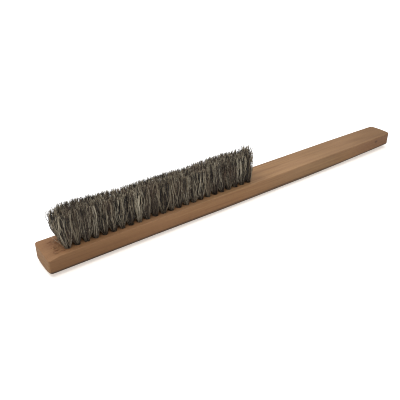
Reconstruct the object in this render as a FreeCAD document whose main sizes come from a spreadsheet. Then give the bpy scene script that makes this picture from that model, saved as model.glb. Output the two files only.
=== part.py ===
import FreeCAD, Part
import Sketcher
import math
import os

# Bee brush: one wooden stock (brush back and handle in one piece), seventy-two
# horsehair tufts in three rows, and one wire staple to each tuft.
#
# Frame, in millimetres: +X runs from the head end to the tip of the handle,
# +Z up out of the flat bristle face, -Y is the side of the near row. The
# origin is at the middle of the stock's box, at its lowest point, so the brush
# lies on its rounded back on the plane Z = 0 with the hair standing up.

V = FreeCAD.Vector
doc = FreeCAD.newDocument("BeeBrush")

# ---------------------------------------------------------------- dimensions
DIMENSIONS = [
    # the stock's plan
    ("stock_length", 442.0),        # head end to handle tip
    ("stock_width", 31.0),          # across the brush part
    ("grip_width", 30.3),           # across the handle
    ("tip_width", 28.4),            # across the handle just before its tip
    ("brush_end", -10.0),           # X where the brush part starts to narrow
    ("grip_start", 34.0),           # X where the handle reaches its width
    ("grip_end", 134.0),            # X where the handle starts to taper
    ("tip_bulge", 1.3),             # how far the tip is rounded in plan
    ("tip_corner", 5.5),            # plan corner radius at the tip
    ("head_corner", 3.0),           # plan corner radius at the head end
    # its depth, from the flat face to the crown of the rounded back
    ("stock_depth", 19.0),          # the deepest place, the flat face's height
    ("back_radius", 30.0),          # radius of the rounded back
    ("crown_flat", 2.5),            # half the width of the flat along its crown
    ("rise_a", 0.8),                # height of the back's crown above Z = 0,
    ("rise_b", 0.6),                # from beyond the head end to beyond the tip
    ("rise_c", 0.0),                # between c and d the crown is straight, and
    ("rise_d", 0.0),                # the brush rests on it
    ("rise_e", 0.35),
    ("rise_f", 0.8),
    ("rise_g", 1.3),
    ("rise_h", 1.85),
    ("rise_j", 2.3),
    ("rise_k", 2.8),
    ("top_round", 0.8),             # sanded edge of the flat face
    ("back_round", 2.8),            # sanded edge between sides and back
    # bored holes for the tufts
    ("hole_radius", 2.5),
    ("hole_depth", 10.0),
    ("mouth_chamfer", 0.5),
    ("first_hole", -200.5),         # X of the first hole of every row
    ("hole_pitch", 8.5),            # along a row
    ("row_pitch", 7.5),             # between rows
    ("holes_in_row", 24),
    ("tufts_in_group", 6),
    # horsehair
    ("root_radius", 2.45),          # hair packed in the hole
    ("root_top", 2.6),              # depth of the root's upper end
    ("neck_radius", 2.15),          # where the hair leaves the hole
    ("heel_radius", 2.25),          # of the rounded end under the neck
    ("hair_length", 29.0),          # out of the face
    ("spread_low", 8.0),            # height of the first wider section
    ("low_long", 3.3),              # half its size along the row
    ("low_wide", 2.6),              # half its size across the row
    ("spread_high", 17.0),          # height where a tuft is at full spread
    ("tip_long", 4.1),              # half the tuft's size along the row
    ("tip_wide", 2.6),              # half its size across the row
    ("lean_low", 0.4),              # how far the outer rows lean inwards
    ("lean_high", 1.0),
    ("lean_tip", 1.3),
    # staples: round wire bent to a U, crown across the folded hair
    ("wire_radius", 0.3),
    ("wire_slot", 0.33),            # radius of the wire's channel
    ("crown_half", 1.8),            # half the distance between the legs
    ("crown_depth", 8.1),           # of the crown, below the flat face
    ("crown_bend", 0.7),            # radius of the two bends
    ("leg_depth", 14.0),            # of the leg holes' ends, below the flat face
    ("leg_clearance", 0.1),         # between a leg's tip and its hole's end
]


class Value:
    """A number together with the spreadsheet expression that gives it."""

    def __init__(self, number, text=None):
        self.number = float(number)
        self.text = text or "(%r)" % number

    def __neg__(self):
        return Value(-self.number, "(-%s)" % self.text)

    def __add__(self, other):
        other = as_value(other)
        return Value(self.number + other.number, "(%s + %s)" % (self.text, other.text))

    def __sub__(self, other):
        other = as_value(other)
        return Value(self.number - other.number, "(%s - %s)" % (self.text, other.text))

    def __mul__(self, other):
        other = as_value(other)
        return Value(self.number * other.number, "(%s * %s)" % (self.text, other.text))

    __rmul__ = __mul__

    def __truediv__(self, other):
        other = as_value(other)
        return Value(self.number / other.number, "(%s / %s)" % (self.text, other.text))


def as_value(thing):
    return thing if isinstance(thing, Value) else Value(thing)


class Dimensions:
    """Every alias of the sheet, as an attribute holding its Value."""


dim = Dimensions()
sheet = doc.addObject("Spreadsheet::Sheet", "Dimensions")
for line, (alias, amount) in enumerate(DIMENSIONS, start=1):
    sheet.set("A%d" % line, alias)
    sheet.set("B%d" % line, repr(amount))
    sheet.setAlias("B%d" % line, alias)
    setattr(dim, alias, Value(amount, "Dimensions." + alias))
doc.recompute()

# derived places
HOLE_FLOOR = dim.stock_depth - dim.hole_depth
CROWN_HEIGHT = dim.stock_depth - dim.crown_depth
HALF_LENGTH = dim.stock_length / 2

# name, Y, and the sign of the direction towards the middle row
ROWS = [
    ("near_row", -dim.row_pitch, 1),
    ("middle_row", Value(0), 0),
    ("far_row", dim.row_pitch, -1),
]


def drive(feature, name, value):
    """Sets a property and binds it to the sheet."""
    setattr(feature, name, value.number)
    feature.setExpression(name, value.text)


# ------------------------------------------------------------ sketch helpers
def plane(body, role):
    for feature in body.Origin.OriginFeatures:
        if feature.Role == role:
            return feature
    raise RuntimeError("no plane " + role)


def new_sketch(body, name, role, shift=None):
    """A sketch on an origin plane, shifted along the plane's normal."""
    sketch = body.newObject("Sketcher::SketchObject", name)
    sketch.AttachmentSupport = [(plane(body, role), "")]
    sketch.MapMode = "FlatFace"
    if shift is not None:
        sketch.AttachmentOffset = FreeCAD.Placement(V(0, 0, shift.number), FreeCAD.Rotation())
        sketch.setExpression("AttachmentOffset.Base.z", shift.text)
    return sketch


def at(x, y):
    return V(as_value(x).number, as_value(y).number, 0)


def constrain(sketch, value, kind, *where):
    """Adds a dimensional constraint driven by the value."""
    index = sketch.addConstraint(Sketcher.Constraint(kind, *where, value.number))
    sketch.setExpression("Constraints[%d]" % index, value.text)


def pin(sketch, curve, end, x, y):
    """Fixes both coordinates of a point; a zero puts it on the sketch's axis."""
    for kind, value, axis in (("DistanceX", as_value(x), -2), ("DistanceY", as_value(y), -1)):
        if abs(value.number) < 1e-9:
            sketch.addConstraint(Sketcher.Constraint("PointOnObject", curve, end, axis))
        else:
            constrain(sketch, value, kind, -1, 1, curve, end)


def circle(sketch, x, y, radius):
    curve = sketch.addGeometry(Part.Circle(at(x, y), V(0, 0, 1), radius.number), False)
    pin(sketch, curve, 3, x, y)
    constrain(sketch, radius, "Radius", curve)


def ellipse(sketch, x, y, long_half, wide_half):
    """An ellipse with its long axis along the sketch's own X."""
    shape = Part.Ellipse(at(x + long_half, y), at(x, y + wide_half), at(x, y))
    curve = sketch.addGeometry(shape, False)
    sketch.exposeInternalGeometry(curve)
    # the exposed axes follow the ellipse: first the long one, then the short
    long_axis = curve + 1
    short_axis = curve + 2
    pin(sketch, curve, 3, x, y)
    sketch.addConstraint(Sketcher.Constraint("Horizontal", long_axis))
    constrain(sketch, 2 * long_half, "Distance", long_axis)
    constrain(sketch, 2 * wide_half, "Distance", short_axis)


def draw(sketch, points, arcs, closed=True):
    """Draws a chain of sides through the points.

    arcs maps the number of a curved side to its radius and a point on it; a
    radius of None holds the radius as drawn.
    """
    count = len(points)
    sides = count if closed else count - 1
    curves = []
    ends = []
    for i in range(sides):
        start = at(*points[i])
        finish = at(*points[(i + 1) % count])
        if i in arcs:
            shape = Part.Arc(start, at(*arcs[i][1]), finish)
        else:
            shape = Part.LineSegment(start, finish)
        curve = sketch.addGeometry(shape, False)
        curves.append(curve)
        # the sketcher may store an arc the other way round
        stored = sketch.Geometry[curve].StartPoint
        first = 1 if (stored - start).Length < 1e-6 else 2
        ends.append((first, 3 - first))
    for i in range(sides if closed else sides - 1):
        j = (i + 1) % sides
        sketch.addConstraint(Sketcher.Constraint(
            "Coincident", curves[i], ends[i][1], curves[j], ends[j][0]))
    for i in range(sides):
        pin(sketch, curves[i], ends[i][0], *points[i])
    if not closed:
        pin(sketch, curves[-1], ends[-1][1], *points[-1])
    for i, (radius, _) in arcs.items():
        if radius is None:
            drawn = sketch.Geometry[curves[i]].Radius
            sketch.addConstraint(Sketcher.Constraint("Radius", curves[i], drawn))
        else:
            constrain(sketch, radius, "Radius", curves[i])


# ----------------------------------------------------------- feature helpers
def new_body(name, label, compound=True):
    body = doc.addObject("PartDesign::Body", name)
    body.Label = label
    if compound:
        body.AllowCompound = True
    return body


def pad(body, name, sketch, length):
    feature = body.newObject("PartDesign::Pad", name)
    feature.Profile = sketch
    drive(feature, "Length", length)
    body.Tip = feature
    doc.recompute()
    return feature


def apply_cut(body, feature):
    """Makes the feature the body's tip, and insists that it removes material."""
    before = body.Shape.Volume
    body.Tip = feature
    doc.recompute()
    if body.Shape.isNull() or not body.Shape.Volume < before - 1e-3:
        raise RuntimeError("%s cut nothing" % feature.Name)


def pocket(body, name, sketch, length, taper=None, backwards=False):
    feature = body.newObject("PartDesign::Pocket", name)
    feature.Profile = sketch
    drive(feature, "Length", length)
    if taper is not None:
        feature.TaperAngle = taper
    if backwards:
        feature.Reversed = True
    apply_cut(body, feature)
    return feature


def loft(body, kind, name, sections):
    feature = body.newObject(kind, name)
    feature.Profile = sections[0]
    feature.Sections = sections[1:]
    feature.Ruled = True
    return feature


def round_edges(body, name, radius, test):
    """Fillets the edges whose bounding box passes the test."""
    base = body.Tip
    edges = ["Edge%d" % i for i, edge in enumerate(body.Shape.Edges, start=1)
             if test(edge.BoundBox)]
    feature = body.newObject("PartDesign::Fillet", name)
    feature.Base = (base, edges)
    drive(feature, "Radius", radius)
    apply_cut(body, feature)


def repeat(body, name, originals, sketch, count):
    """Repeats features along X, one to each hole."""
    feature = body.newObject("PartDesign::LinearPattern", name)
    feature.Originals = originals
    feature.Direction = (sketch, ["H_Axis"])
    drive(feature, "Length", dim.hole_pitch * (count - 1))
    feature.Occurrences = int(count.number)
    return feature


# --------------------------------------------------------------------- stock
# A board cut to its plan, its back rounded lengthwise, its edges sanded, and
# the three rows of blind holes bored in the flat face.
TAPER_BULGE = 0.19      # of the handle's tapering sides, at their middle
CUTTER_HALF = 17.0      # half the width of what is planed away, past the sides
CUTTER_FLOOR = -6.0     # its lowest Z
CUTTER_OVERRUN = 2      # how far it passes both ends of the stock

# X of a section through the back, and the height of the crown there
CROWN_STATIONS = [
    (-HALF_LENGTH - CUTTER_OVERRUN, dim.rise_a),
    (Value(-121), dim.rise_b),
    (Value(-51), dim.rise_c),
    (Value(79), dim.rise_d),
    (Value(104), dim.rise_e),
    (Value(129), dim.rise_f),
    (Value(149), dim.rise_g),
    (Value(174), dim.rise_h),
    (Value(199), dim.rise_j),
    (HALF_LENGTH + CUTTER_OVERRUN, dim.rise_k),
]


def cut_blank(stock):
    """The board: its plan, symmetrical about X, at full depth."""
    tip_x = HALF_LENGTH - dim.tip_bulge
    near_side = [
        (-HALF_LENGTH, -dim.stock_width / 2),
        (dim.brush_end, -dim.stock_width / 2),
        (dim.grip_start, -dim.grip_width / 2),
        (dim.grip_end, -dim.grip_width / 2),
        (tip_x, -dim.tip_width / 2),
    ]
    far_side = [(x, -y) for x, y in reversed(near_side)]
    taper_x = (dim.grip_end + tip_x) / 2
    taper_y = (dim.grip_width + dim.tip_width) / 4 + TAPER_BULGE
    plan = new_sketch(stock, "StockPlan", "XY_Plane")
    draw(plan, near_side + far_side, {
        3: (None, (taper_x, -taper_y)),
        4: (None, (HALF_LENGTH, 0)),
        5: (None, (taper_x, taper_y)),
    })
    pad(stock, "Blank", plan, dim.stock_depth)


def plane_back(stock):
    """Takes away everything under the crown and the arcs on both its sides."""
    radius = dim.back_radius.number
    reach = CUTTER_HALF - dim.crown_flat.number
    rim_rise = radius - math.sqrt(radius * radius - reach * reach)
    half_angle = math.asin(reach / radius) / 2
    middle_y = dim.crown_flat + radius * math.sin(half_angle)
    middle_rise = radius * (1 - math.cos(half_angle))
    sections = []
    for i, (x, rise) in enumerate(CROWN_STATIONS):
        section = new_sketch(stock, "BackSection%d" % i, "YZ_Plane", x)
        rim = rise + rim_rise
        draw(section, [
            (-CUTTER_HALF, rim),
            (-dim.crown_flat, rise),
            (dim.crown_flat, rise),
            (CUTTER_HALF, rim),
            (CUTTER_HALF, CUTTER_FLOOR),
            (-CUTTER_HALF, CUTTER_FLOOR),
        ], {
            0: (dim.back_radius, (-middle_y, rise + middle_rise)),
            2: (dim.back_radius, (middle_y, rise + middle_rise)),
        })
        sections.append(section)
    back = loft(stock, "PartDesign::SubtractiveLoft", "RoundedBack", sections)
    apply_cut(stock, back)


def sand_edges(stock):
    """Corners first, so that the long edges run on round them."""
    end = HALF_LENGTH.number
    top = dim.stock_depth.number
    round_edges(stock, "TipCorners", dim.tip_corner,
                lambda box: box.XMin > end - 3 and box.XLength < 0.2
                and box.YLength < 0.2 and box.ZLength > 8)
    round_edges(stock, "HeadCorners", dim.head_corner,
                lambda box: box.XMax < -end + 0.5
                and box.YLength < 0.2 and box.ZLength > 8)
    # below the flat face, and not upright
    round_edges(stock, "BackEdges", dim.back_round,
                lambda box: box.ZMax < top - 2 and box.ZLength < 12
                and not (box.XLength < 0.3 and box.YLength < 0.3))
    round_edges(stock, "FaceEdges", dim.top_round,
                lambda box: box.ZMin > top - 0.01)


def bore_holes(stock):
    """One file of three holes, repeated along the rows.

    Each hole has a small chamfer at its mouth and, in its floor, the two holes
    that the staple's legs make in the wood.
    """
    bores = new_sketch(stock, "Bores", "XY_Plane", dim.stock_depth)
    for _, y, _ in ROWS:
        circle(bores, dim.first_hole, y, dim.hole_radius)
    bore = pocket(stock, "BoredHoles", bores, dim.hole_depth)

    # cut upwards from the chamfer's foot, widening to the face
    mouths = new_sketch(stock, "Mouths", "XY_Plane", dim.stock_depth - dim.mouth_chamfer)
    for _, y, _ in ROWS:
        circle(mouths, dim.first_hole, y, dim.hole_radius)
    mouth = pocket(stock, "MouthChamfers", mouths, dim.mouth_chamfer,
                   taper=45.0, backwards=True)

    legs = new_sketch(stock, "LegHoles", "XY_Plane", HOLE_FLOOR)
    for _, y, _ in ROWS:
        circle(legs, dim.first_hole, y - dim.crown_half, dim.wire_slot)
        circle(legs, dim.first_hole, y + dim.crown_half, dim.wire_slot)
    leg = pocket(stock, "StapleLegHoles", legs, dim.leg_depth - dim.hole_depth)

    holes = repeat(stock, "HolePattern", [bore, mouth, leg], bores, dim.holes_in_row)
    apply_cut(stock, holes)


def make_stock():
    stock = new_body("Stock", "stock", compound=False)
    cut_blank(stock)
    plane_back(stock)
    sand_edges(stock)
    bore_holes(stock)
    return stock


# --------------------------------------------------------------------- tufts
# Each tuft is a bundle of hair folded double. Its root fills the hole under
# the face; its free end starts from a rounded neck at the hole's mouth and
# spreads towards the tips. A group is six neighbours of one row.
def make_tufts(tag, label, x, y, inward):
    """The free ends of a group, lofted from the neck through the spread."""
    body = new_body("Tufts" + tag, label)
    neck = new_sketch(body, "Neck" + tag, "XY_Plane", dim.stock_depth)
    circle(neck, x, y, dim.neck_radius)
    sections = [neck]
    # name, height above the face, lean, half sizes along and across the row
    for name, height, lean, long_half, wide_half in (
            ("Low", dim.spread_low, dim.lean_low, dim.low_long, dim.low_wide),
            ("High", dim.spread_high, dim.lean_high, dim.tip_long, dim.tip_wide),
            ("Tips", dim.hair_length, dim.lean_tip, dim.tip_long, dim.tip_wide)):
        section = new_sketch(body, name + tag, "XY_Plane", dim.stock_depth + height)
        ellipse(section, x, y + inward * lean, long_half, wide_half)
        sections.append(section)
    spread = loft(body, "PartDesign::AdditiveLoft", "Spread" + tag, sections)
    body.Tip = spread

    # the lower half of a sphere, under the neck
    heel = body.newObject("PartDesign::AdditiveSphere", "Heel" + tag)
    heel.AttachmentSupport = [(plane(body, "XY_Plane"), "")]
    heel.MapMode = "FlatFace"
    heel.AttachmentOffset = FreeCAD.Placement(
        V(x.number, y.number, dim.stock_depth.number), FreeCAD.Rotation())
    for axis, place in (("x", x), ("y", y), ("z", dim.stock_depth)):
        heel.setExpression("AttachmentOffset.Base." + axis, place.text)
    drive(heel, "Radius", dim.heel_radius)
    heel.Angle1 = -90.0
    heel.Angle2 = 0.0
    body.Tip = heel
    doc.recompute()
    body.Tip = repeat(body, "Pattern" + tag, [spread, heel], neck, dim.tufts_in_group)
    return body


def make_roots(tag, label, x, y):
    """The packed hair of a group, with the staple's channel through its fold."""
    body = new_body("Roots" + tag, label)
    disc = new_sketch(body, "Disc" + tag, "XY_Plane", HOLE_FLOOR)
    circle(disc, x, y, dim.root_radius)
    packed = pad(body, "Packed" + tag, disc, dim.hole_depth - dim.root_top)

    # the channel is open downwards only at the two legs, so the fold of the
    # hair passes under the crown
    slot = new_sketch(body, "Slot" + tag, "YZ_Plane", x - dim.wire_slot)
    outer = dim.crown_half + dim.wire_slot
    inner = dim.crown_half - dim.wire_slot
    crown_under = CROWN_HEIGHT - dim.wire_slot
    crown_over = CROWN_HEIGHT + dim.wire_slot
    draw(slot, [
        (y - outer, HOLE_FLOOR),
        (y - inner, HOLE_FLOOR),
        (y - inner, crown_under),
        (y + inner, crown_under),
        (y + inner, HOLE_FLOOR),
        (y + outer, HOLE_FLOOR),
        (y + outer, crown_over),
        (y - outer, crown_over),
    ], {})
    channel = pocket(body, "Channel" + tag, slot, 2 * dim.wire_slot, backwards=True)
    body.Tip = repeat(body, "PatternRoot" + tag, [packed, channel], disc,
                      dim.tufts_in_group)
    return body


# ------------------------------------------------------------------- staples
# One to each tuft: the crown lies across the fold, the legs are driven into
# the wood under the hole.
def make_staples(row, y):
    body = new_body("Staples_" + row, row + "_staples")
    half = dim.crown_half
    bend = dim.crown_bend
    leg_tip = dim.stock_depth - dim.leg_depth + dim.leg_clearance
    # from a bend's square corner to the middle of its arc, along each axis
    inset = bend * (1 - math.sqrt(0.5))

    path = new_sketch(body, "Wire_" + row, "YZ_Plane", dim.first_hole)
    draw(path, [
        (y + half, leg_tip),
        (y + half, CROWN_HEIGHT - bend),
        (y + half - bend, CROWN_HEIGHT),
        (y - half + bend, CROWN_HEIGHT),
        (y - half, CROWN_HEIGHT - bend),
        (y - half, leg_tip),
    ], {
        1: (bend, (y + half - inset, CROWN_HEIGHT - inset)),
        3: (bend, (y - half + inset, CROWN_HEIGHT - inset)),
    }, closed=False)
    section = new_sketch(body, "WireSection_" + row, "XY_Plane", leg_tip)
    circle(section, dim.first_hole, y + half, dim.wire_radius)
    wire = body.newObject("PartDesign::AdditivePipe", "Drawn_" + row)
    wire.Profile = section
    wire.Spine = (path, ["Edge%d" % i for i in range(1, 6)])
    body.Tip = wire
    doc.recompute()
    whole = math.pi * dim.wire_radius.number ** 2 * path.Shape.Length
    if abs(wire.Shape.Volume / whole - 1) > 0.02:
        raise RuntimeError("the wire of %s is not whole" % row)
    body.Tip = repeat(body, "Set_" + row, [wire], section, dim.holes_in_row)
    return body


# ------------------------------------------------------------------ assembly
holes_in_row = int(dim.holes_in_row.number)
group_size = int(dim.tufts_in_group.number)

# each body and the number of solids it must have
pieces = [(make_stock(), 1)]
for row, y, inward in ROWS:
    for group in range(holes_in_row // group_size):
        first = group * group_size
        tag = "_%s_%d" % (row, group + 1)
        span = "%02d_to_%02d" % (first + 1, first + group_size)
        x = dim.first_hole + dim.hole_pitch * first
        tufts = make_tufts(tag, "%s_tufts_%s" % (row, span), x, y, inward)
        pieces.append((tufts, group_size))
        roots = make_roots(tag, "%s_roots_%s" % (row, span), x, y)
        pieces.append((roots, group_size))
for row, y, _ in ROWS:
    pieces.append((make_staples(row, y), holes_in_row))
doc.recompute()

# --------------------------------------------------------- checks and export
for thing in doc.Objects:
    if "Invalid" in thing.State or "Error" in thing.State:
        raise RuntimeError("%s failed: %s" % (thing.Name, thing.State))
for body, solids in pieces:
    shape = body.Shape
    if shape.isNull() or not shape.isValid():
        raise RuntimeError(body.Label + " is not a valid shape")
    if len(shape.Solids) != solids:
        raise RuntimeError("%s has %d solids, not %d" % (
            body.Label, len(shape.Solids), solids))

os.makedirs("parts", exist_ok=True)
for body, _ in pieces:
    body.Shape.exportStep("parts/%s.step" % body.Label)
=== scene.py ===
"""A wooden brush with three rows of horsehair tufts, each folded round a wire staple.

The stock lies along X, its head end at the lowest x and the tip of its handle at the
highest. The bristle face looks up (+Z) and the near side is at the lowest y.
"""

import math

import bmesh
import bpy
import numpy as np
from mathutils import Matrix, Vector


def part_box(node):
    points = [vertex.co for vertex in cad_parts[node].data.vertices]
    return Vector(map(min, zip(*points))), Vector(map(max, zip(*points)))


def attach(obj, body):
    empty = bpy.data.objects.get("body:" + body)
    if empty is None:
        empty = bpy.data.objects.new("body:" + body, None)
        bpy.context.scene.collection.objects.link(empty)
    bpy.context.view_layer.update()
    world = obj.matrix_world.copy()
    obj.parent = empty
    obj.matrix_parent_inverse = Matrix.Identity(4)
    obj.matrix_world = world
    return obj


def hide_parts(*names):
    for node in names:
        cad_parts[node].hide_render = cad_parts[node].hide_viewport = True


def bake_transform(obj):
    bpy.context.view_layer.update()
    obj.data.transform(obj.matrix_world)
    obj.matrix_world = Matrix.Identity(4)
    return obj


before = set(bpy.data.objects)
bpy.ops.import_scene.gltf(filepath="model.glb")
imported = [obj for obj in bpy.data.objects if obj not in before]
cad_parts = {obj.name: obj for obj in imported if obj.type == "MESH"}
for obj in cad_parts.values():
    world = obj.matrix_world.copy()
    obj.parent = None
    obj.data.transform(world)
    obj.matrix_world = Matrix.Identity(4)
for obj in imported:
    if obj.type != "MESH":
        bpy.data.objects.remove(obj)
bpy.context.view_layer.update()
scene = bpy.context.scene

MM = 0.001
TURN = 2 * np.pi
ROWS = ("near_row", "middle_row", "far_row")
GROUPS = ((1, 6), (7, 12), (13, 18), (19, 24))   # first and last tuft of each piece
FIRST_TUFT, LAST_TUFT = GROUPS[0][0], GROUPS[-1][1]

stock_lo, stock_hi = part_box("stock")
FACE = stock_hi.z          # the flat bristle face
HEAD = stock_lo.x          # the head end
TIP = stock_hi.x           # the tip of the handle
FACE_MM = FACE / MM if False else FACE * 1000.0


# ------------------------------------------------------------------ shader helpers
def srgb(*channels):
    """A linear colour from 0-255 sRGB channels."""
    shares = [c / 255.0 for c in channels]
    return tuple(c / 12.92 if c <= 0.04045 else ((c + 0.055) / 1.055) ** 2.4
                 for c in shares)


class Shader:
    """A node tree, with a short call for each kind of node used here."""

    def __init__(self, tree):
        self.tree = tree

    def feed(self, socket, value):
        if isinstance(value, bpy.types.NodeSocket):
            self.tree.links.new(value, socket)
        else:
            socket.default_value = value

    def node(self, kind, inputs=None, **settings):
        made = self.tree.nodes.new("ShaderNode" + kind)
        for key, value in settings.items():
            setattr(made, key, value)
        for key, value in (inputs or {}).items():
            self.feed(made.inputs[key], value)
        return made

    def math(self, operation, *values):
        return self.node("Math", dict(enumerate(values)), operation=operation).outputs[0]

    def chain(self, operation, values):
        total = values[0]
        for value in values[1:]:
            total = self.math(operation, total, value)
        return total

    def add(self, *values):
        return self.chain("ADD", values)

    def times(self, *values):
        return self.chain("MULTIPLY", values)

    def vector_math(self, operation, *values):
        made = self.node("VectorMath", dict(enumerate(values)), operation=operation)
        is_number = operation in ("LENGTH", "DOT_PRODUCT")
        return made.outputs["Value" if is_number else "Vector"]

    def mix(self, under, over, share, strength=None, blend="MIX"):
        """Lay one colour over another, by share times strength."""
        if strength is not None:
            share = self.times(share, strength)
        under, over = ((*c, 1) if isinstance(c, tuple) else c for c in (under, over))
        return self.node("Mix", {0: share, 6: under, 7: over},
                         data_type="RGBA", blend_type=blend).outputs[2]

    def ramp(self, value, stops):
        """stops: (position, grey level or colour)."""
        made = self.node("ValToRGB", {0: value})
        elements = made.color_ramp.elements
        while len(elements) < len(stops):
            elements.new(0.5)
        for element, (position, colour) in zip(elements, stops):
            if isinstance(colour, (int, float)):
                colour = (colour,) * 3
            element.position = position
            element.color = (*colour, 1)
        return made.outputs[0]

    def within(self, value, low, high, soft):
        """1 between low and high, fading to 0 over soft either side of each."""
        rises, falls = (
            self.node("MapRange", {"Value": value, "From Min": edge - soft,
                                   "From Max": edge + soft},
                      interpolation_type="SMOOTHSTEP").outputs[0]
            for edge in (low, high))
        return self.times(rises, self.math("SUBTRACT", 1.0, falls))

    def object_place(self):
        return self.node("TexCoord").outputs["Object"]

    def axes(self, vector):
        return self.node("SeparateXYZ", {0: vector}).outputs

    def stretched(self, scale, shift=(0, 0, 0)):
        """The object's own coordinates in metres, scaled and shifted."""
        return self.node("Mapping", {"Scale": scale, "Location": shift,
                                     "Vector": self.object_place()}).outputs[0]

    def noise(self, scale, shift=(0, 0, 0), detail=3.0, rough=0.5):
        return self.node("TexNoise", {
            "Scale": 1.0, "Detail": detail, "Roughness": rough, "Distortion": 0.0,
            "Vector": self.stretched(scale, shift)}).outputs[0]

    def cells(self, vector, scale=1.0):
        """Distance to the nearest of a scatter of points."""
        return self.node("TexVoronoi", {"Scale": scale, "Vector": vector},
                         feature="F1").outputs["Distance"]

    def camera_ray(self):
        return self.node("LightPath").outputs["Is Camera Ray"]

    def surface(self, inputs):
        for key, value in inputs.items():
            self.feed(self.principled.inputs[key], value)


def new_material(name):
    made = bpy.data.materials.new(name)
    made.use_nodes = True
    made.node_tree.nodes.clear()
    s = Shader(made.node_tree)
    output = s.node("OutputMaterial")
    s.principled = s.node("BsdfPrincipled")
    s.feed(output.inputs["Surface"], s.principled.outputs[0])
    return made, s


# ---------------------------------------------------------------------------- wood
RING_SPACING = 0.0036
PITH_Y, PITH_Z = -0.006, -0.045    # the rings' centre, below the stock
KNOT = (0.1931, stock_lo.y, FACE - 0.0046)

# share of a darker, greyer brown from the head end (0) to the handle's tip (1)
DARK_ENDS = [(0.0, 0.52), (0.10, 0.50), (0.20, 0.36), (0.34, 0.16), (0.55, 0.0),
             (0.68, 0.06), (0.82, 0.22), (0.93, 0.45), (1.0, 0.60)]
# colour factors from the head end (0) to the handle's tip (1), one table for the sides
# and one for the face: partly the wood's tone along the stock, partly painted light and
# shade that set the face's and the sides' brightness apart
SIDE_TONE_AND_SHADE = [
    (0.02, (1.05, 1.03, 0.99)), (0.10, (1.12, 1.10, 1.03)),
    (0.27, (1.15, 1.14, 1.07)), (0.45, (1.16, 1.15, 1.09)),
    (0.54, (1.18, 1.22, 1.22)), (0.63, (1.08, 1.14, 1.16)),
    (0.74, (1.03, 1.11, 1.06)), (0.81, (1.10, 1.14, 1.05)),
    (0.90, (1.02, 0.97, 0.90)), (1.00, (0.98, 0.90, 0.83))]
FACE_TONE_AND_LIGHT = [
    (0.00, (1.12, 1.13, 1.14)), (0.04, (1.12, 1.13, 1.14)),
    (0.10, (1.05, 1.05, 1.05)), (0.50, (0.96, 1.01, 1.05)),
    (0.60, (0.95, 1.00, 1.05)), (0.66, (0.93, 0.98, 1.03)),
    (0.73, (0.89, 0.95, 0.97)), (1.00, (0.89, 0.955, 1.00))]


def growth_rings(s, x, y, z):
    """Rings round a wandering pith that slopes along the stock."""
    wander_z = s.noise(scale=(9, 30, 30), detail=2.0)
    wander_y = s.noise(scale=(4, 12, 12), shift=(3, 1, 5), detail=1.0)
    off_y = s.add(y, s.times(wander_y, 0.018), -PITH_Y)
    off_z = s.add(z, s.times(wander_z, 0.007), s.times(x, 0.035), -PITH_Z)
    distance = s.math("SQRT", s.add(s.times(off_y, off_y), s.times(off_z, off_z)))
    turns = s.math("FRACT", s.times(distance, 1 / RING_SPACING))
    return s.ramp(turns, [(0.0, 0.25), (0.55, 0.45), (0.86, 1.0), (1.0, 0.25)])


def grain_colour(s, rings, streak, fibre, pores):
    """Streaks along the grain, then rings, fibres, pale patches and pores."""
    patch = s.noise(scale=(11, 60, 60), shift=(5, 0, 2))
    base = s.ramp(streak, [(0.25, srgb(122, 88, 57)), (0.5, srgb(144, 108, 72)),
                           (0.78, srgb(162, 126, 87))])
    base = s.mix(base, srgb(112, 78, 54), share=rings, strength=0.33)
    base = s.mix(base, srgb(98, 68, 46), strength=0.30,
                 share=s.ramp(fibre, [(0.35, 1.0), (0.62, 0.0)]))
    base = s.mix(base, srgb(173, 134, 98),
                 share=s.ramp(patch, [(0.40, 0.0), (0.75, 0.45)]))
    return s.mix(base, srgb(74, 48, 32), share=pores, strength=0.5)


def lengthwise_colour(s, base, x, normal_z):
    """Slow changes along the stock, its sides unlike its face, partly by painted shade on
    the sides.
    """
    def along_stock():
        return s.math("DIVIDE", s.math("SUBTRACT", x, HEAD), TIP - HEAD)

    base = s.mix(base, srgb(102, 70, 42), share=s.ramp(along_stock(), DARK_ENDS))
    # painted shade: the sides are a touch darker than the face, as if less lit
    sides = s.ramp(s.math("ABSOLUTE", normal_z), [(0.3, 1.0), (0.7, 0.0)])
    base = s.mix(base, srgb(92, 62, 36), share=sides, strength=0.22)
    broad = s.noise(scale=(5.5, 14, 14), shift=(2, 7, 1), detail=2.0)
    base = s.mix(base, srgb(128, 90, 66),
                 share=s.ramp(broad, [(0.38, 0.0), (0.7, 0.30)]))
    place = along_stock()
    side_drift = s.ramp(place, SIDE_TONE_AND_SHADE)
    face_drift = s.ramp(place, FACE_TONE_AND_LIGHT)
    # painted light and shade: the face and the sides take different colour factors
    drift = s.mix(face_drift, side_drift, share=sides)
    return s.mix(base, drift, share=1.0, blend="MULTIPLY")


def knot_colour(s, base, place):
    """One small dark knot on the near side of the handle, close to its tip."""
    offset = s.vector_math("SUBTRACT", place, KNOT)
    offset = s.vector_math("MULTIPLY", offset, (0.62, 0.35, 1.0))
    distance = s.times(s.vector_math("LENGTH", offset), 250.0)
    knot = s.ramp(distance, [(0.10, 1.0), (0.22, 0.75), (0.55, 0.0)])
    return s.mix(base, srgb(74, 42, 24), share=knot, strength=0.9)


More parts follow.
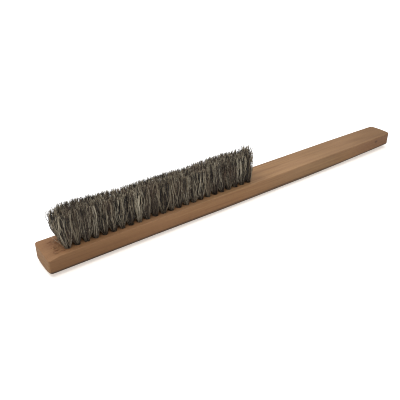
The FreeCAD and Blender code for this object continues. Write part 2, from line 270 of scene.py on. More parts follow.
def painted_low_edge_shade(s, base, z, normal_z):
    """Painted shade: the rounded lower edges, which face the floor, are darkened as if in
    the shadow under the stock, and so is the foot of the sides.
    """
    down = s.times(normal_z, -1.0)
    band = s.times(s.ramp(down, [(0.03, 0.0), (0.22, 1.0)]),
                   s.ramp(down, [(0.86, 1.0), (0.93, 0.0)]))
    foot = s.times(s.ramp(s.times(z, 100.0), [(0.53, 1.0), (0.66, 0.0)]),
                   s.ramp(s.math("ABSOLUTE", normal_z), [(0.2, 1.0), (0.5, 0.0)]))
    share = s.math("MAXIMUM", s.times(band, 0.94), s.times(foot, 0.58))
    # the colour of the painted shade
    return s.mix(base, srgb(50, 38, 28), share=share)


def torn_mask(s, x, y, z):
    """Scuffs and tears in the face near its head end."""
    torn = s.times(s.within(x, low=HEAD + 0.0065, high=HEAD + 0.0175, soft=0.002),
                   s.within(y, low=-0.0115, high=0.0115, soft=0.003),
                   s.within(z, low=FACE - 0.0003, high=FACE + 0.1, soft=0.0002))
    tears = s.noise(scale=(330, 900, 900), shift=(2, 9, 4), rough=0.6)
    return s.times(torn, s.ramp(tears, [(0.50, 0.0), (0.60, 1.0)]))


# partly dirt, partly painted shadow that the hair casts on the face near the head end
def head_dirt_and_hair_shadow_mask(s, x, z):
    dirt = s.noise(scale=(70, 120, 120), shift=(8, 3, 4), rough=0.6)
    near_hair = s.times(s.within(x, low=HEAD - 0.01, high=HEAD + 0.022, soft=0.006),
                        s.within(z, low=FACE - 0.0006, high=FACE + 0.1, soft=0.0004))
    return s.times(near_hair, s.ramp(dirt, [(0.42, 0.0), (0.66, 0.20)]))


def end_grain_colour(s, place, rings):
    """Speckled with open pores."""
    specks = s.ramp(s.cells(place, scale=1400.0), [(0.15, 1.0), (0.38, 0.0)])
    colour = s.mix(srgb(147, 112, 77), srgb(112, 80, 53), share=rings, strength=0.5)
    return s.mix(colour, srgb(84, 58, 40), share=specks, strength=0.55)


def edge_mask(s, normal):
    """The edges, found where a rounded normal parts from the true one."""
    bevel = s.node("Bevel", {"Radius": 0.0016}, samples=4)
    agreement = s.vector_math("DOT_PRODUCT", bevel.outputs[0], normal)
    return s.ramp(agreement, [(0.80, 1.0), (0.995, 0.0)])


def wood_material():
    """Bare sanded hardwood, its rings, fibres and pores running along X."""
    made, s = new_material("wood_stock")
    place = s.object_place()
    x, y, z = s.axes(place)
    normal = s.node("NewGeometry").outputs["Normal"]
    normal_x, _, normal_z = s.axes(normal)

    rings = growth_rings(s, x, y, z)
    fibre = s.noise(scale=(14, 900, 900), detail=4.0, rough=0.6)
    streak = s.noise(scale=(5, 260, 260), shift=(1, 2, 3), rough=0.55)
    # short dark dashes along the grain
    pores = s.ramp(s.cells(s.stretched((190, 1900, 1900))), [(0.10, 1.0), (0.22, 0.0)])
    tears = torn_mask(s, x, y, z)
    ends = s.ramp(s.math("ABSOLUTE", normal_x), [(0.55, 0.0), (0.9, 1.0)])

    base = grain_colour(s, rings, streak, fibre, pores)
    base = lengthwise_colour(s, base, x, normal_z)
    base = knot_colour(s, base, place)
    # painted shade along the lower edges and the foot of the sides
    base = painted_low_edge_shade(s, base, z, normal_z)
    base = s.mix(base, srgb(104, 58, 34), share=tears, strength=0.60)
    # partly dirt, partly painted shadow of the hair near the head end
    base = s.mix(base, srgb(112, 72, 47), share=head_dirt_and_hair_shadow_mask(s, x, z))
    base = s.mix(base, end_grain_colour(s, place, rings), share=ends)
    base = s.mix(base, srgb(108, 78, 56), share=edge_mask(s, normal), strength=0.25)

    height = s.add(s.times(fibre, 0.6), s.times(pores, -0.8),
                   s.times(streak, 0.5), s.times(tears, -0.9))
    bump = s.node("Bump", {"Strength": 0.35, "Distance": 0.00012, "Height": height})
    s.surface({
        "Base Color": base,
        "Roughness": s.add(0.50, s.times(streak, 0.18), s.times(ends, 0.15)),
        "Specular IOR Level": 0.26,
        "Normal": bump.outputs[0]})
    return made


# ------------------------------------------------------------------- hair and wire
HAIR_COLOURS = [
    (0.00, srgb(8, 6, 5)), (0.20, srgb(22, 17, 13)), (0.42, srgb(60, 48, 37)),
    (0.60, srgb(98, 84, 67)), (0.74, srgb(138, 124, 102)),
    (0.88, srgb(182, 169, 144)), (1.00, srgb(228, 217, 192))]


def hair_material():
    """Reads two attributes. shade: one number for each hair; along: 0 where it
    leaves the wood, 1 at its tip."""
    made, s = new_material("horsehair")
    shade = s.node("Attribute", attribute_name="shade").outputs["Fac"]
    along = s.node("Attribute", attribute_name="along").outputs["Fac"]
    colour = s.ramp(shade, HAIR_COLOURS)
    # here and there a reddish brown patch
    ruddy = s.noise(scale=(55, 55, 40), shift=(4, 2, 7), detail=2.0, rough=0.55)
    colour = s.mix(colour, s.mix(colour, srgb(112, 74, 52), share=0.45),
                   share=s.ramp(ruddy, [(0.50, 0.0), (0.72, 0.55)]))
    mottle = s.noise(scale=(900, 900, 260), detail=2.0)
    colour = s.mix(colour, srgb(66, 54, 42),
                   share=s.ramp(mottle, [(0.35, 0.35), (0.62, 0.0)]))
    # painted shade at the root, low in the tuft where the hairs crowd; and darker at the
    # very tip
    colour = s.mix(colour, srgb(52, 43, 35),
                   share=s.ramp(along, [(0.0, 0.62), (0.25, 0.34), (0.7, 0.0)]))
    colour = s.mix(colour, srgb(30, 24, 19),
                   share=s.ramp(along, [(0.74, 0.0), (1.0, 0.20)]))
    # the upper halves of the tufts nearest the head end are darker
    x = s.axes(s.object_place())[0]
    first = s.ramp(s.times(s.math("SUBTRACT", x, HEAD), 10.0),
                   [(0.0, 0.0), (0.14, 0.0), (0.24, 0.22), (0.40, 0.22), (0.62, 0.0)])
    upper = s.ramp(along, [(0.30, 0.0), (0.62, 1.0)])
    colour = s.mix(colour, srgb(38, 32, 26), share=s.times(first, upper))
    s.surface({
        "Base Color": colour,
        "Roughness": s.add(0.42, s.times(mottle, 0.2)),
        "Specular IOR Level": 0.28,
        "Sheen Weight": 0.06,
        "Sheen Roughness": 0.4})
    return made


def wire_material():
    made, s = new_material("staple_wire")
    drawn = s.noise(scale=(4000, 4000, 500), rough=0.6)
    s.surface({
        "Base Color": s.ramp(drawn, [(0.3, srgb(128, 126, 122)),
                                     (0.7, srgb(178, 176, 170))]),
        "Metallic": 1.0,
        "Roughness": s.add(0.25, s.times(drawn, 0.3))})
    return made


# --------------------------------------------------------------------- hair meshes
def unit(vectors):
    return vectors / np.maximum(np.linalg.norm(vectors, axis=-1, keepdims=True), 1e-12)


def across(vectors, along):
    """The unit part of each vector that is square to along."""
    return unit(vectors - (vectors * along).sum(1, keepdims=True) * along)


def tubes(paths, radii, spin, sides):
    """Closed tubes along paths (count, stations, 3) with radii (count, stations).

    Returns vertices, side faces and end caps."""
    count, stations, _ = paths.shape
    tangent = np.empty_like(paths)
    tangent[:, 1:-1] = paths[:, 2:] - paths[:, :-2]
    tangent[:, 0] = paths[:, 1] - paths[:, 0]
    tangent[:, -1] = paths[:, -1] - paths[:, -2]
    tangent = unit(tangent)
    # carry one side vector along each path, so that the tube doesn't twist
    side_a = np.empty_like(paths)
    start = unit(np.stack([np.cos(spin), np.sin(spin), 0.3 * np.sin(3 * spin)], 1))
    side_a[:, 0] = across(start, tangent[:, 0])
    for i in range(1, stations):
        side_a[:, i] = across(side_a[:, i - 1], tangent[:, i])
    side_b = np.cross(tangent, side_a)
    angle = np.arange(sides) * 2 * np.pi / sides
    ring = (side_a[:, :, None, :] * np.cos(angle)[None, None, :, None]
            + side_b[:, :, None, :] * np.sin(angle)[None, None, :, None])
    vertices = paths[:, :, None, :] + ring * radii[:, :, None, None]

    first = np.arange(count) * stations * sides
    base = first[:, None, None]
    i = np.arange(stations - 1)[None, :, None] * sides
    j = np.arange(sides)[None, None, :]
    j_next = (j + 1) % sides
    quads = np.stack([base + i + j, base + i + j_next, base + i + sides + j_next,
                      base + i + sides + j], -1)
    start_caps = first[:, None] + np.arange(sides)[::-1][None]
    end_caps = start_caps[:, ::-1] + (stations - 1) * sides
    return (vertices.reshape(-1, 3), quads.reshape(-1, 4),
            np.concatenate([start_caps, end_caps]))


def tube_uvs(first, count, stations, sides, columns, lines):
    """Each hair fills one upright cell of the map; caps sit inside the same cell."""
    index = first + np.arange(count)
    cell_u = (index % columns) / columns
    cell_v = (index // columns) / lines
    width, height = 1.0 / columns, 1.0 / lines
    i = np.arange(stations - 1)[None, :, None]
    j = np.arange(sides)[None, None, :]

    def strip_u(step):
        return cell_u[:, None, None] + width * (0.22 + 0.56 * step / sides)

    def strip_v(step):
        return cell_v[:, None, None] + height * (0.06 + 0.88 * step / (stations - 1))

    u0, u1, v0, v1 = np.broadcast_arrays(
        strip_u(j), strip_u(j + 1), strip_v(i), strip_v(i + 1))
    corners = ((u0, v0), (u1, v0), (u1, v1), (u0, v1))
    quads = np.stack([np.stack(corner, -1) for corner in corners], -2).reshape(-1, 2)
    angle = np.arange(sides) * 2 * np.pi / sides
    cap_u = 0.45 + 0.15 * np.cos(angle)
    cap_v = 0.025 + 0.025 * np.sin(angle)
    caps = []
    for cap_foot in (0.03, 0.92):
        u = cell_u[:, None] + width * cap_u[None]
        v = cell_v[:, None] + height * (cap_foot + cap_v[None])
        caps.append(np.stack([u, v], -1).reshape(-1, 2))
    return quads, np.concatenate(caps)


def hair_mesh(name, batches, sides=3):
    """batches: list of (paths, radii, spin, shade, along); along is (count, stations)."""
    total = sum(len(batch[0]) for batch in batches)
    columns = max(1, int(math.ceil(math.sqrt(total / 8.0) * 2.0)))
    lines = int(math.ceil(total / columns))
    vertices, quads, caps, quad_uvs, cap_uvs = [], [], [], [], []
    values = {"shade": [], "along": []}
    vertices_done = hairs_done = 0
    for paths, radii, spin, shade, along in batches:
        count, stations, _ = paths.shape
        batch_vertices, batch_quads, batch_caps = tubes(paths, radii, spin, sides)
        vertices.append(batch_vertices)
        quads.append(batch_quads + vertices_done)
        caps.append(batch_caps + vertices_done)
        vertices_done += len(batch_vertices)
        values["shade"].append(np.repeat(shade, stations * sides))
        values["along"].append(np.repeat(along.reshape(-1), sides))
        of_quads, of_caps = tube_uvs(hairs_done, count, stations, sides, columns, lines)
        quad_uvs.append(of_quads)
        cap_uvs.append(of_caps)
        hairs_done += count
    vertices = np.concatenate(vertices).astype(np.float32)
    quads = np.concatenate(quads).astype(np.int32)
    caps = np.concatenate(caps).astype(np.int32)

    mesh = bpy.data.meshes.new(name)
    mesh.vertices.add(len(vertices))
    mesh.vertices.foreach_set("co", vertices.ravel())
    loops = np.concatenate([quads.ravel(), caps.ravel()])
    mesh.loops.add(len(loops))
    mesh.loops.foreach_set("vertex_index", loops)
    mesh.polygons.add(len(quads) + len(caps))
    starts = np.concatenate([np.arange(len(quads)) * 4,
                             len(quads) * 4 + np.arange(len(caps)) * sides])
    mesh.polygons.foreach_set("loop_start", starts.astype(np.int32))
    mesh.polygons.foreach_set("use_smooth", np.ones(len(starts), bool))
    mesh.update(calc_edges=True)
    layer = mesh.uv_layers.new(name="OFBake")
    uvs = np.concatenate(quad_uvs + cap_uvs).astype(np.float32)
    layer.data.foreach_set("uv", uvs.ravel())
    for label, parts in values.items():
        attribute = mesh.attributes.new(label, "FLOAT", "POINT")
        attribute.data.foreach_set("value", np.concatenate(parts).astype(np.float32))
    mesh.validate()
    made = bpy.data.objects.new(name, mesh)
    scene.collection.objects.link(made)
    return made


# -------------------------------------------------------------- tufts, millimetres
HAIRS = 112                # folded hairs in a tuft
STRANDS = 34               # clumps the hairs of a tuft cling in
PACK_RADIUS = 2.12         # of the hairs where they are packed in the hole
CROWN_GAP = 0.28           # from the middle of the hole to the innermost hair
CROWN_CLEAR = 0.45         # from the staple's crown down to the innermost fold
FLOOR_CLEAR = 0.15         # from the outermost fold down to the hole's floor
SPREAD_RADIUS = 2.3        # a hair this far out at the root has its tip at:
SPREAD = np.array([4.6, 2.6])

# distance from the head end, height of the hair
HEIGHTS = np.array([
    (0, 29.7), (20, 30.9), (28, 32.2), (38, 32.6), (48, 31.0), (80, 29.0),
    (117, 30.2), (144, 28.7), (172, 30.0), (191, 30.9), (207, 29.7), (216, 29.8)])
# shares of a hair's height at which its path has a station
LEVELS = np.array([0.0, 0.05, 0.11, 0.18, 0.27, 0.37, 0.48, 0.60, 0.72, 0.84,
                   0.93, 1.0])
TIP_TAPER = np.concatenate([np.ones(len(LEVELS) - 2), [0.8, 0.45]])

# how far the tips lean: along X by tuft number and row, and along Y by row
HEAD_LEAN = {1: -0.8, 2: -1.0, 3: -0.8, 4: -0.6, 5: -0.3}
HANDLE_LEAN = {23: {"near_row": 0.6, "middle_row": 1.9, "far_row": 2.2},
               24: {"near_row": 1.5, "middle_row": 4.8, "far_row": 7.0}}
NEAR_ROW_BACK_LEAN = ([12, 17, 23, 24], [0.0, 2.2, 3.0, 2.4])
LEAN_Y = {"near_row": 0.9, "middle_row": 0.3, "far_row": -0.1}

# a hair's two legs in the hole: share of its x, share of its y, z from the mouth
LEG = ((1.0, 1.0, -2.5), (0.99, 0.92, -5.2), (0.97, 0.60 * 1.1, -7.3))
FOLD_X, FOLD_Y = 0.97, 0.60
FOLD_ANGLES = (25, 55, 90, 125, 155)

# tips of single hairs that have escaped, from the mouth of the hole they leave
HEAD_STRAYS = {
    "near_row": [(-19.0, 0.6, 24.0), (-14.0, 2.0, 29.5), (-8.8, -2.2, 22.0),
                 (-7.5, -2.6, 15.5)],
    "middle_row": [(-10.6, 1.2, 30.5), (-8.2, -0.8, 26.0)],
    "far_row": [(-9.4, 0.4, 31.0)]}
HANDLE_STRAYS = {
    "near_row": [(6.2, -1.0, 27.0)],
    "middle_row": [(9.8, 0.4, 29.0), (8.6, -0.6, 25.5)],
    "far_row": [(11.4, 1.0, 29.5), (10.2, 1.8, 26.5), (9.2, -0.5, 31.0)]}


def tuft_lean(rng, row, number):
    lean_x = HEAD_LEAN.get(number, 0.0) + rng.normal(0, 0.5)
    lean_x += HANDLE_LEAN.get(number, {}).get(row, 0.0)
    if row == "near_row":
        lean_x -= float(np.interp(number, *NEAR_ROW_BACK_LEAN))
    return lean_x, LEAN_Y[row] + rng.normal(0, 0.25)


def clump(rng, root_x, root_y, number):
    """Share the hairs out among strands. Returns each hair's strand, whether it
    strays from it, and its shade."""
    kind = rng.uniform(0, 1, STRANDS) * (0.6 if number == FIRST_TUFT else 1.0)
    pale = rng.uniform(0.70, 1.0, STRANDS)
    dark = rng.uniform(0.0, 0.26, STRANDS)
    medium = rng.uniform(0.26, 0.60, STRANDS)
    strand_shade = np.where(kind < 0.27, pale, np.where(kind < 0.68, dark, medium))
    order = np.argsort(root_y + 0.6 * root_x + rng.normal(0, 0.5, HAIRS))
    strand = np.empty(HAIRS, int)
    strand[order] = (np.arange(HAIRS) * STRANDS) // HAIRS
    loose = rng.uniform(0, 1, HAIRS) < 0.16
    shade = np.where(loose, rng.beta(1.3, 1.7, HAIRS),
                     strand_shade[strand] + rng.normal(0, 0.06, HAIRS))
    threads = rng.uniform(0, 1, HAIRS) < 0.09
    shade = np.where(threads, rng.uniform(0.82, 1.0, HAIRS), shade)
    return strand, loose | threads, shade


def tip_places(rng, side, row, number, middle, strand, loose):
    """Where the tips come, as (x, y) from the middle of the hole, before leaning."""
    goal = middle / SPREAD_RADIUS * SPREAD
    goal += rng.normal(0, 1.0, goal.shape) * np.array([2.3, 1.3])
    if number == FIRST_TUFT and side == -1:
        goal[:, 0] -= rng.uniform(0, 1.8, STRANDS)
    if number == LAST_TUFT and row == "near_row":
        goal[:, 0] = np.where(goal[:, 0] > 0, goal[:, 0] * 0.7, goal[:, 0])
    tips = goal[strand] + rng.normal(0, 0.30, (HAIRS, 2))
    scatter = rng.normal(0, 1.0, tips.shape) * np.array([2.6, 1.6])
    tips = np.where(loose[:, None], tips + scatter, tips)
    if number == FIRST_TUFT:
        # draw in the hairs that reach furthest beyond the head end
        tips[:, 0] = np.where(tips[:, 0] < -3.0, -3.0 + (tips[:, 0] + 3.0) * 0.55,
                              tips[:, 0])
    return tips


def hair_lengths(rng, side, number, height, strand):
    strand_extra = rng.normal(0, 0.55, STRANDS)
    length = height + strand_extra[strand] + rng.normal(0, 0.75, HAIRS)
    short = rng.uniform(0, 1, HAIRS) < 0.17
    length = np.where(short, length - rng.uniform(1.5, 11.0, HAIRS), length)
    if number == LAST_TUFT:
        length += 1.9 if side > 0 else -1.8
    elif number == LAST_TUFT - 1:
        length -= 0.3
    elif number == FIRST_TUFT and side < 0:
        length -= 1.9
    tall = rng.uniform(0, 1, HAIRS) < 0.05
    return np.where(tall, length + rng.uniform(0.5, 2.4, HAIRS), length)


def waver(rng, z, strand, loose):
    """Sideways waves: those a strand shares, then each hair's own."""
    wave = np.zeros_like(z)
    # shortest wavelength, longest wavelength, largest swing
    for shortest, longest, swing in ((13.0, 28.0, 0.80), (7.0, 11.0, 0.18)):
        size = rng.uniform(0.25, 1.0, STRANDS) * swing
        wavelength = rng.uniform(shortest, longest, STRANDS)
        phase = rng.uniform(0, TURN, STRANDS)
        wave += size[strand][:, None] * (
            np.sin(TURN * z / wavelength[strand][:, None] + phase[strand][:, None])
            - np.sin(phase[strand])[:, None] * (1 - LEVELS)[None])
    size = rng.uniform(0.03, 0.22, HAIRS)
    wavelength = rng.uniform(5.0, 12.0, HAIRS)
    phase = rng.uniform(0, TURN, HAIRS)
    own = size[:, None] * np.sin(TURN * z / wavelength[:, None] + phase[:, None])
    bow = rng.normal(0, 1.0, HAIRS) * np.where(loose, 1.0, 0.10)
    own += bow[:, None] * np.sin(np.pi * LEVELS)[None]
    return wave + own


def half_tuft(rng, side, row, number, root, height, lean, strand, loose):
    """The hairs on one side of the crown (1: +X, -1: -X), from mouth to tips."""
    t = LEVELS
    root_x, root_y = side * root[0], root[1]
    in_strand = np.maximum(np.bincount(strand, minlength=STRANDS), 1)
    middle = np.stack([np.bincount(strand, places, STRANDS) / in_strand
                       for places in (root_x, root_y)], 1)
    tips = tip_places(rng, side, row, number, middle, strand, loose)
    z = t[None, :] * hair_lengths(rng, side, number, height, strand)[:, None]
    ease = 1 - (1 - np.clip(t / 0.95, 0, 1)) ** 1.75
    belly = np.sin(np.pi * np.clip(t * 2.3, 0, 1)) * 0.22
    # how closely a hair keeps to its strand's course
    hold = 1 - (1 - np.clip(t / 0.35, 0, 1)) ** 2
    keep = np.where(loose, 0.0, rng.uniform(0.45, 0.95, HAIRS))
    grow = np.clip(t * 2.2, 0, 1)[None] * (0.55 + 0.45 * t)[None]
    places = []
    # for X, then Y: share of the belly, power of the lean
    for axis, (start, belly_share, lean_power) in enumerate(
            ((root_x, 1.0, 1.5), (root_y, 1.4, 1.15))):
        course = start[:, None] + (middle[strand, axis] - start)[:, None] * (
            keep[:, None] * hold[None])
        place = (course * (1 + belly_share * belly)[None]
                 + (tips[:, axis:axis + 1] - course) * ease[None]
                 + lean[axis] * (t ** lean_power)[None])
        if axis == 0 and number == FIRST_TUFT:
            place -= (1.5 * np.sin(np.pi * t) * (side < 0))[None]
        place += waver(rng, z, strand, loose) * grow
        places.append(place)
    return np.stack([*places, z], -1)


def fold(root_x, root_y, crown, floor):
    """In the hole: down on +X, under the crown and up again on -X."""
    share_out = (root_x - CROWN_GAP) / 1.83
    depth = crown + CROWN_CLEAR + share_out * (floor - FLOOR_CLEAR - crown - CROWN_CLEAR)

    def leg(side):
        return [np.stack([side * root_x * share_x, root_y * share_y,
                          np.full(HAIRS, z)], -1) for share_x, share_y, z in LEG]

    bend = []
    for angle in FOLD_ANGLES:
        c, s = math.cos(math.radians(angle)), math.sin(math.radians(angle))
        bend.append(np.stack([root_x * FOLD_X * c, root_y * FOLD_Y,
                              -crown - (depth - crown) * s], -1))
    return np.stack(leg(1) + bend + leg(-1)[::-1], 1)


def tuft(rng, hole, row, number, floor, crown):
    """One tuft of hairs folded double round the staple's crown; floor and crown are
    depths below the hole's mouth. Returns a batch for hair_mesh."""
    radius = PACK_RADIUS * np.sqrt(rng.uniform(0.0, 1.0, HAIRS))
    angle = rng.uniform(-np.pi / 2, np.pi / 2, HAIRS)
    root_x = np.maximum(radius * np.cos(angle), 0.0) * 0.86 + CROWN_GAP
    root_y = radius * np.sin(angle) * 0.97
    height = np.interp(hole[0] - HEAD * 1000.0, HEIGHTS[:, 0], HEIGHTS[:, 1])
    lean = tuft_lean(rng, row, number)
    tuft_shade = rng.normal(0, 0.03)
    strand, loose, shade = clump(rng, root_x, root_y, number)
    plus_x, minus_x = (half_tuft(rng, side, row, number, (root_x, root_y), height,
                                 lean, strand, loose) for side in (1, -1))
    inside = fold(root_x, root_y, crown, floor)
    path = np.concatenate([plus_x[:, ::-1], inside, minus_x], 1)
    stations_inside = inside.shape[1]
    along = np.concatenate([LEVELS[::-1], np.zeros(stations_inside), LEVELS])
    along = np.repeat(along[None], HAIRS, 0)
    thick = rng.uniform(0.10, 0.19, HAIRS)
    thick = np.where(shade > 0.62, thick * 1.15, thick)
    taper = np.concatenate([TIP_TAPER[::-1], np.full(stations_inside, 0.82), TIP_TAPER])
    if number == FIRST_TUFT:
        along = np.minimum(along, 0.78)
        shade = np.where(loose, np.maximum(shade, 0.55 + 0.4 * shade), shade)
    shade = np.clip(shade + tuft_shade, 0.0, 1.0)
    path = path + np.array(hole)[None, None]
    return (path * MM, thick[:, None] * taper[None] * MM,
            rng.uniform(0, TURN, HAIRS), shade, along)


def strays(rng, hole, tips):
    """Single hairs that have escaped from a tuft, as a batch for hair_mesh."""
    tips = np.array(tips, float)
    count = len(tips)
    t = LEVELS
    start = rng.normal(0, 1.0, (count, 2)) * np.array([0.7, 1.1]) + np.array([-0.5, 0])
    start = np.concatenate([start, np.full((count, 1), -1.5)], 1)
    bow = rng.normal(0, 1.0, (count, 3)) * np.array([0.9, 0.9, 0.5])
    path = (start[:, None] * (1 - t)[None, :, None] + tips[:, None] * t[None, :, None]
            + bow[:, None] * np.sin(np.pi * t)[None, :, None])
    lift = np.sin(np.pi * np.clip(t, 0, 1)) * 1.4
    path[:, :, 2] += lift[None] * (np.abs(tips[:, 0]) / 12.0)[:, None]
    for axis in (0, 1):
        size = rng.uniform(0.08, 0.35, count)
        waves = rng.uniform(1.5, 3.5, count)
        phase = rng.uniform(0, 6.28, count)
        path[:, :, axis] += size[:, None] * np.sin(
            TURN * t[None] * waves[:, None] + phase[:, None]) * t[None]
    radii = rng.uniform(0.06, 0.085, count)[:, None] * TIP_TAPER[None]
    shade = rng.uniform(0.94, 1.0, count)
    return ((path + np.array(hole)[None, None]) * MM, radii * MM,
            rng.uniform(0, 6.28, count), shade, np.full((count, len(t)), 0.6))


def build_hair(hair):
    _, staple_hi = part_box("middle_row_staples")
    crown = (FACE - staple_hi.z) * 1000.0 + 0.3
    for row_index, row in enumerate(ROWS):
        for group_index, (first, last) in enumerate(GROUPS):
            roots = "%s_roots_%02d_to_%02d" % (row, first, last)
            tufts = "%s_tufts_%02d_to_%02d" % (row, first, last)
            lo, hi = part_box(roots)
            floor = (FACE - lo.z) * 1000.0
            radius = (hi.y - lo.y) / 2
            y = (lo.y + hi.y) / 2 * 1000.0
            xs = np.linspace(lo.x + radius, hi.x - radius, last - first + 1) * 1000.0
            batches = []
            for number, x in enumerate(xs, first):
                rng = np.random.default_rng(1000 * row_index + number + 17)
                batches.append(tuft(rng, (x, y, FACE_MM), row, number, floor, crown))
            rng = np.random.default_rng(400 + 10 * row_index + group_index)
            if first == FIRST_TUFT:
                batches.append(strays(rng, (xs[0], y, FACE_MM), HEAD_STRAYS[row]))
            if last == LAST_TUFT:
                batches.append(strays(rng, (xs[-1], y, FACE_MM), HANDLE_STRAYS[row]))
            piece = hair_mesh("%s_hair_%02d_to_%02d" % (row, first, last), batches)
            piece.data.materials.append(hair)
            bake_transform(piece)
            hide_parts(roots, tufts)


# --------------------------------------------------------------------------- stock
# Cuts through the head end's near top corner, in millimetres in from the head end,
# the near side and the face. The furthest of each bounds the worn part.
WEAR_CUTS_X = (13.5, 11.0, 9.0, 7.0, 5.4, 4.0, 2.8, 1.6, 0.8)
WEAR_CUTS_Y = (1.2, 2.4, 4.0, 6.0, 8.5, 11.5, 15.0, 19.0, 24.0)
WEAR_CUTS_Z = (1.6, 3.4, 5.6, 9.0)
WEAR_DROP = 2.7 * MM


def repaint(name, paint):
    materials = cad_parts[name].data.materials
    materials.clear()
    materials.append(paint)


def build_worn_stock(wood):
    """The stock with the near top corner of its head end worn down."""
    bm = bmesh.new()
    bm.from_mesh(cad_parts["stock"].data)
    bmesh.ops.remove_doubles(bm, verts=bm.verts, dist=3e-7)
    near = stock_lo.y
    reach_x, reach_y, reach_z = (max(cuts) * MM for cuts in
                                 (WEAR_CUTS_X, WEAR_CUTS_Y, WEAR_CUTS_Z))
    planes = [((HEAD + d * MM, 0, 0), (1, 0, 0)) for d in WEAR_CUTS_X]
    planes += [((0, near + d * MM, 0), (0, 1, 0)) for d in WEAR_CUTS_Y]
    planes += [((0, 0, FACE - d * MM), (0, 0, 1)) for d in WEAR_CUTS_Z]
    for place, normal in planes:
        faces = [f for f in bm.faces
                 if min(v.co.x for v in f.verts) < HEAD + reach_x - 1e-7]
        geometry = set(faces)
        for face in faces:
            geometry.update(face.verts)
            geometry.update(face.edges)
        bmesh.ops.bisect_plane(bm, geom=list(geometry), dist=1e-7, plane_co=place,
                               plane_no=normal)
    for vertex in bm.verts:
        along = (vertex.co.x - HEAD) / reach_x
        inward = (vertex.co.y - near) / reach_y
        high = (vertex.co.z - (FACE - reach_z)) / reach_z
        if along < 1 and inward < 1 and high > 0:
            vertex.co.z -= WEAR_DROP * (1 - along) ** 1.7 * (1 - inward) ** 1.4 * high
    mesh = bpy.data.meshes.new("wooden_stock")
    bmesh.ops.recalc_face_normals(bm, faces=bm.faces)
    bm.to_mesh(mesh)
    bm.free()
    for face in mesh.polygons:
        face.use_smooth = True
    mesh.set_sharp_from_angle(angle=math.radians(32))
    stock = bpy.data.objects.new("wooden_stock", mesh)
    scene.collection.objects.link(stock)
    even = stock.modifiers.new("even_shading", "WEIGHTED_NORMAL")
    even.keep_sharp = True
    mesh.materials.append(wood)
    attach(stock, "stock")
    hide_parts("stock")


def build_face_litter(wood, hair):
    """Slivers of wood lifted from the face near its head end, and a few short
    clipped hairs lying among them."""
    rng = np.random.default_rng(77)
    t = np.linspace(0, 1, 6)
    taper = np.array([0.9, 1.0, 0.95, 0.8, 0.55, 0.2])
    # name, count, spread of direction, radii in millimetres, material, slot
    for name, count, turn_spread, radius_range, paint, slot in (
            ("torn_fibres", 16, 0.45, (0.10, 0.24), wood, "wood"),
            ("clipped_hair", 4, 1.2, (0.06, 0.09), hair, "horsehair")):
        start_x = rng.uniform(-214.5, -205.6, count)
        start_y = rng.uniform(-11.0, 9.5, count)
        turn = rng.normal(0, turn_spread, count)
        size = rng.uniform(1.4, 4.2, count)
        rise = rng.uniform(0.05, 0.55, count)
        thick = rng.uniform(*radius_range, count)
        bend = rng.normal(0, 0.3, count)
        x = start_x[:, None] + (size * np.cos(turn))[:, None] * t[None]
        y = (start_y[:, None] + (size * np.sin(turn))[:, None] * t[None]
             + bend[:, None] * np.sin(np.pi * t)[None])
        z = (FACE_MM - 0.02 + rise[:, None] * (t ** 1.6)[None]
             + thick[:, None] * 0.3)
        radii = thick[:, None] * taper[None]
        spin = rng.uniform(0, 6.28, count)
        shade = rng.uniform(0.45, 0.9, count)
        batch = (np.stack([x, y, z], -1) * MM, radii * MM, spin, shade,
                 np.full((count, len(t)), 0.5))
        piece = hair_mesh(name, [batch], sides=5)
        piece.data.materials.append(paint)
        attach(piece, "stock")


# ------------------------------------------------------- floor, light and camera
FLOOR_SIZE = 12.0
FLOOR_GAP = 0.00005        # between the stock's underside and the floor
CAMERA_PLACE = (-0.31905, -0.35462, FACE + 0.24658)
CAMERA_FORWARD = (0.5111, 0.6994, -0.4997)
CAMERA_RIGHT = (0.8074, -0.5900, 0.0)
SENSOR_WIDTH, LENS = 36.0, 46.4931   # millimetres


def paper_material():
    """White paper with a painted contact shadow: warmer and a little darker close under
    the brush, where an occlusion mask darkens its colour and its glow.
    """
    made, s = new_material("paper")
    openness = s.node("AmbientOcclusion", {"Distance": 0.026}, samples=12).outputs["AO"]
    open_stops = [(0.97, srgb(234, 233, 232)), (1.0, srgb(249, 249, 249))]
    # painted contact shadow: the colour and the glow darken where the occlusion mask
    # closes
    colour = s.ramp(openness, [(0.0, srgb(226, 216, 206)), (0.45, srgb(226, 220, 214)),
                               (0.80, srgb(217, 214, 211))] + open_stops)
    glow_and_painted_shadow = s.ramp(openness, [(0.0, srgb(252, 242, 232)), (0.45, srgb(246, 240, 234)),
                             (0.80, srgb(219, 216, 213))] + open_stops)
    # the glow is seen only by the camera; with the colour it lays the painted contact
    # shadow beside the brush
    s.surface({
        "Base Color": colour,
        "Emission Color": glow_and_painted_shadow,
        "Emission Strength": s.times(s.camera_ray(), 0.58),
        "Roughness": 0.9,
        "Specular IOR Level": 0.1})
    return made


def build_floor():
    paper = paper_material()
    mesh = bpy.data.meshes.new("floor")
    half = FLOOR_SIZE / 2
    z = stock_lo.z - FLOOR_GAP
    mesh.from_pydata([(-half, -half, z), (half, -half, z), (half, half, z),
                      (-half, half, z)], [], [(0, 1, 2, 3)])
    floor = bpy.data.objects.new("floor", mesh)
    scene.collection.objects.link(floor)
    mesh.materials.append(paper)


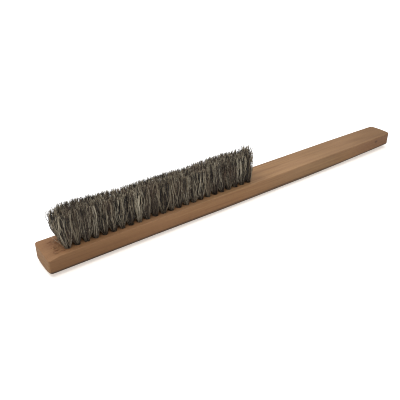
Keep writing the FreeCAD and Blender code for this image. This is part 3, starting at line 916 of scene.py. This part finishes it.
def build_world():
    """A white sky, brighter to the camera than to the scene."""
    world = bpy.data.worlds.new("studio")
    scene.world = world
    world.use_nodes = True
    s = Shader(world.node_tree)
    sky = world.node_tree.nodes["Background"]
    s.feed(sky.inputs["Color"], (1, 1, 1, 1))
    s.feed(sky.inputs["Strength"], s.add(0.60, s.times(s.camera_ray(), 0.5)))


def area_light(name, place, target, size, power):
    data = bpy.data.lights.new(name, "AREA")
    data.shape = "RECTANGLE"
    data.size, data.size_y = size
    data.energy = power
    light = bpy.data.objects.new(name, data)
    scene.collection.objects.link(light)
    light.location = place
    aim = Vector(target) - Vector(place)
    light.rotation_euler = aim.to_track_quat("-Z", "Y").to_euler()


def build_camera():
    data = bpy.data.cameras.new("camera")
    camera = bpy.data.objects.new("camera", data)
    scene.collection.objects.link(camera)
    data.sensor_width = SENSOR_WIDTH
    data.lens = LENS
    data.clip_start, data.clip_end = 0.01, 50.0
    forward = Vector(CAMERA_FORWARD).normalized()
    up = Vector(CAMERA_RIGHT).normalized().cross(forward).normalized()
    right = forward.cross(up).normalized()
    # the columns are the camera's own axes and its place
    columns = ((*right, 0), (*up, 0), (*-forward, 0), (*CAMERA_PLACE, 1))
    camera.matrix_world = Matrix(columns).transposed()
    scene.camera = camera


def set_render():
    scene.view_settings.view_transform = "Standard"
    scene.view_settings.look = "None"
    scene.cycles.filter_width = 1.2
    scene.cycles.use_denoising = True
    scene.cycles.denoising_input_passes = "RGB_ALBEDO_NORMAL"
    scene.cycles.denoising_prefilter = "NONE"


# ------------------------------------------------------------------------ assembly
wood = wood_material()
hair = hair_material()
wire = wire_material()

repaint("stock", wood)
build_worn_stock(wood)
for row in ROWS:
    repaint(row + "_staples", wire)
build_hair(hair)
build_face_litter(wood, hair)

set_render()
build_floor()
build_world()
area_light("overhead", place=(-0.05, -0.05, 1.6), target=(-0.05, 0.0, 0),
           size=(1.8, 1.6), power=26.0)
area_light("key", place=(-0.7, 0.5, 1.3), target=(-0.05, 0, 0),
           size=(0.6, 0.6), power=4.0)
build_camera()
